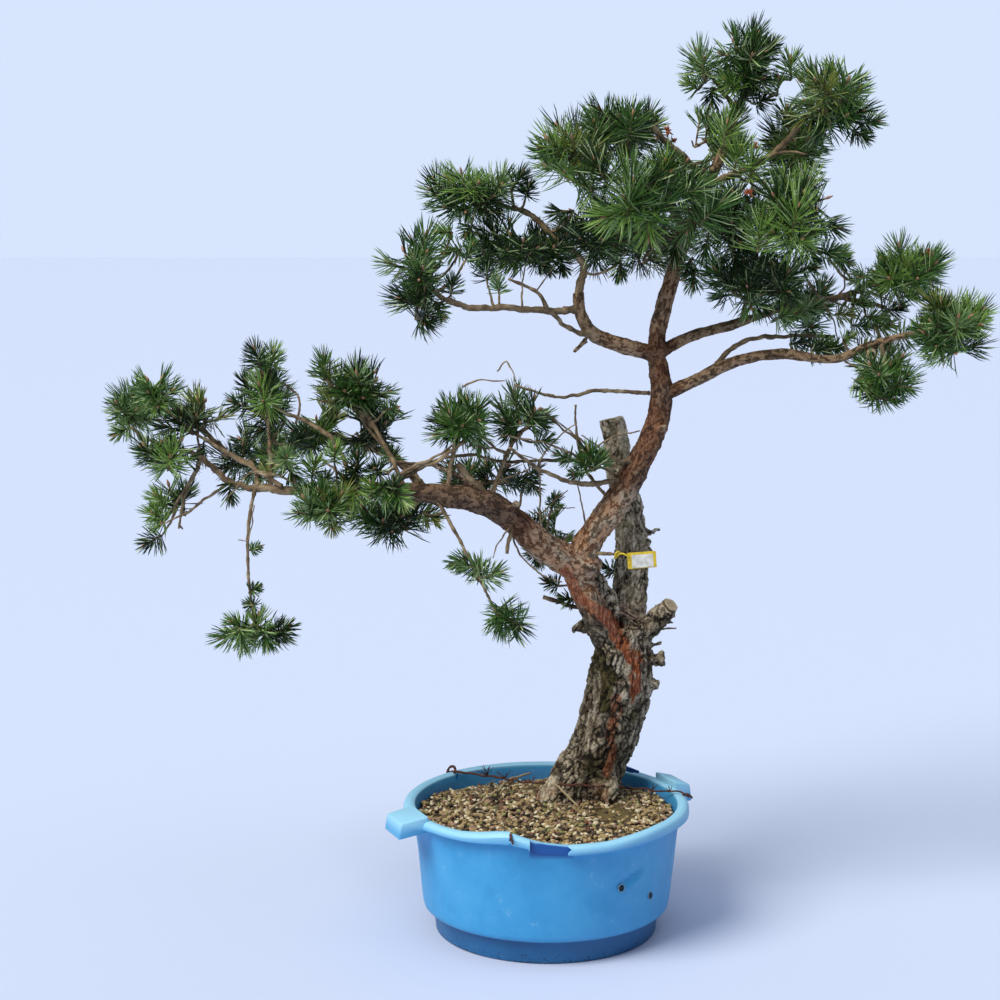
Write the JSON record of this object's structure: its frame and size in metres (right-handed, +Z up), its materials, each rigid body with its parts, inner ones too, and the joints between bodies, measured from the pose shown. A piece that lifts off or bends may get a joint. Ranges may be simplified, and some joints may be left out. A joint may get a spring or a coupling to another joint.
{
  "type": "scots pine bonsai in a tub",
  "caption": "Scots pine bonsai with a leaning trunk, a chopped old leader, a sinuous live leader and open pads of needles, standing in a round plastic tub of grit",
  "frame": {"origin": "centre of the tub's flat underside, where it stands", "axes": "+Z up, +X to the right and +Y away from someone who faces the tree's front"},
  "size_m": [1.3091, 0.4586, 1.3513],
  "materials": {
    "tub": "satin, scuffed",
    "grit": "rough",
    "old_bark": "rough plated bark",
    "live_bark": "flaking bark",
    "twig_bark": "rough",
    "needles": "matte",
    "tag": "matte"
  },
  "bodies": {
    "root": {"crown_front_burst": "needles", "crown_left_limb": "twig_bark", "crown_left_pad": "needles", "crown_left_rear_pad": "needles", "crown_left_under_pad": "needles", "crown_middle_pad": "needles", "crown_rear_pad": "needles", "crown_right_front_pad": "needles", "crown_right_limb": "twig_bark", "crown_right_rear_pad": "needles", "crown_right_tip_pad": "needles", "crown_right_under_pad": "needles", "crown_tip": "needles", "crown_tip_side": "needles", "crown_upper_pad": "needles", "far_left_arm": "twig_bark", "far_left_front_pad": "needles", "far_left_pad": "needles", "grit": "grit", "hanging_left_twig": "needles", "hanging_middle_twig": "needles", "leader_sprig": "needles", "left_front_low_pad": "needles", "left_inner_pad": "needles", "left_low_pad": "needles", "left_middle_pad": "needles", "left_near_pad": "needles", "left_rear_pad": "needles", "left_spire": "needles", "left_tip_pad": "needles", "left_top_pad": "needles", "left_under_pad": "needles", "live_leader_lower": "live_bark", "live_leader_upper": "live_bark", "low_left_bough": "live_bark", "low_left_outer_bough": "twig_bark", "low_left_rear_arm": "twig_bark", "low_right_bough": "live_bark", "lower_rear_sprigs": "needles", "middle_left_pad": "needles", "middle_low_pad": "needles", "middle_pad": "needles", "old_leader": "old_bark", "right_bough": "live_bark", "right_inner_pad": "needles", "right_low_pad": "needles", "right_middle_pad": "needles", "right_outer_bough": "twig_bark", "right_tip_pad": "needles", "right_top_pad": "needles", "tag": "tag", "top_leader": "live_bark", "trunk": "old_bark", "tub": "tub", "upper_left_arm": "twig_bark", "upper_left_bough": "live_bark", "upper_left_inner_pad": "needles", "upper_left_neck": "twig_bark", "upper_left_tip_pad": "needles", "upper_left_top_pad": "needles"}
  },
  "joints": []
}
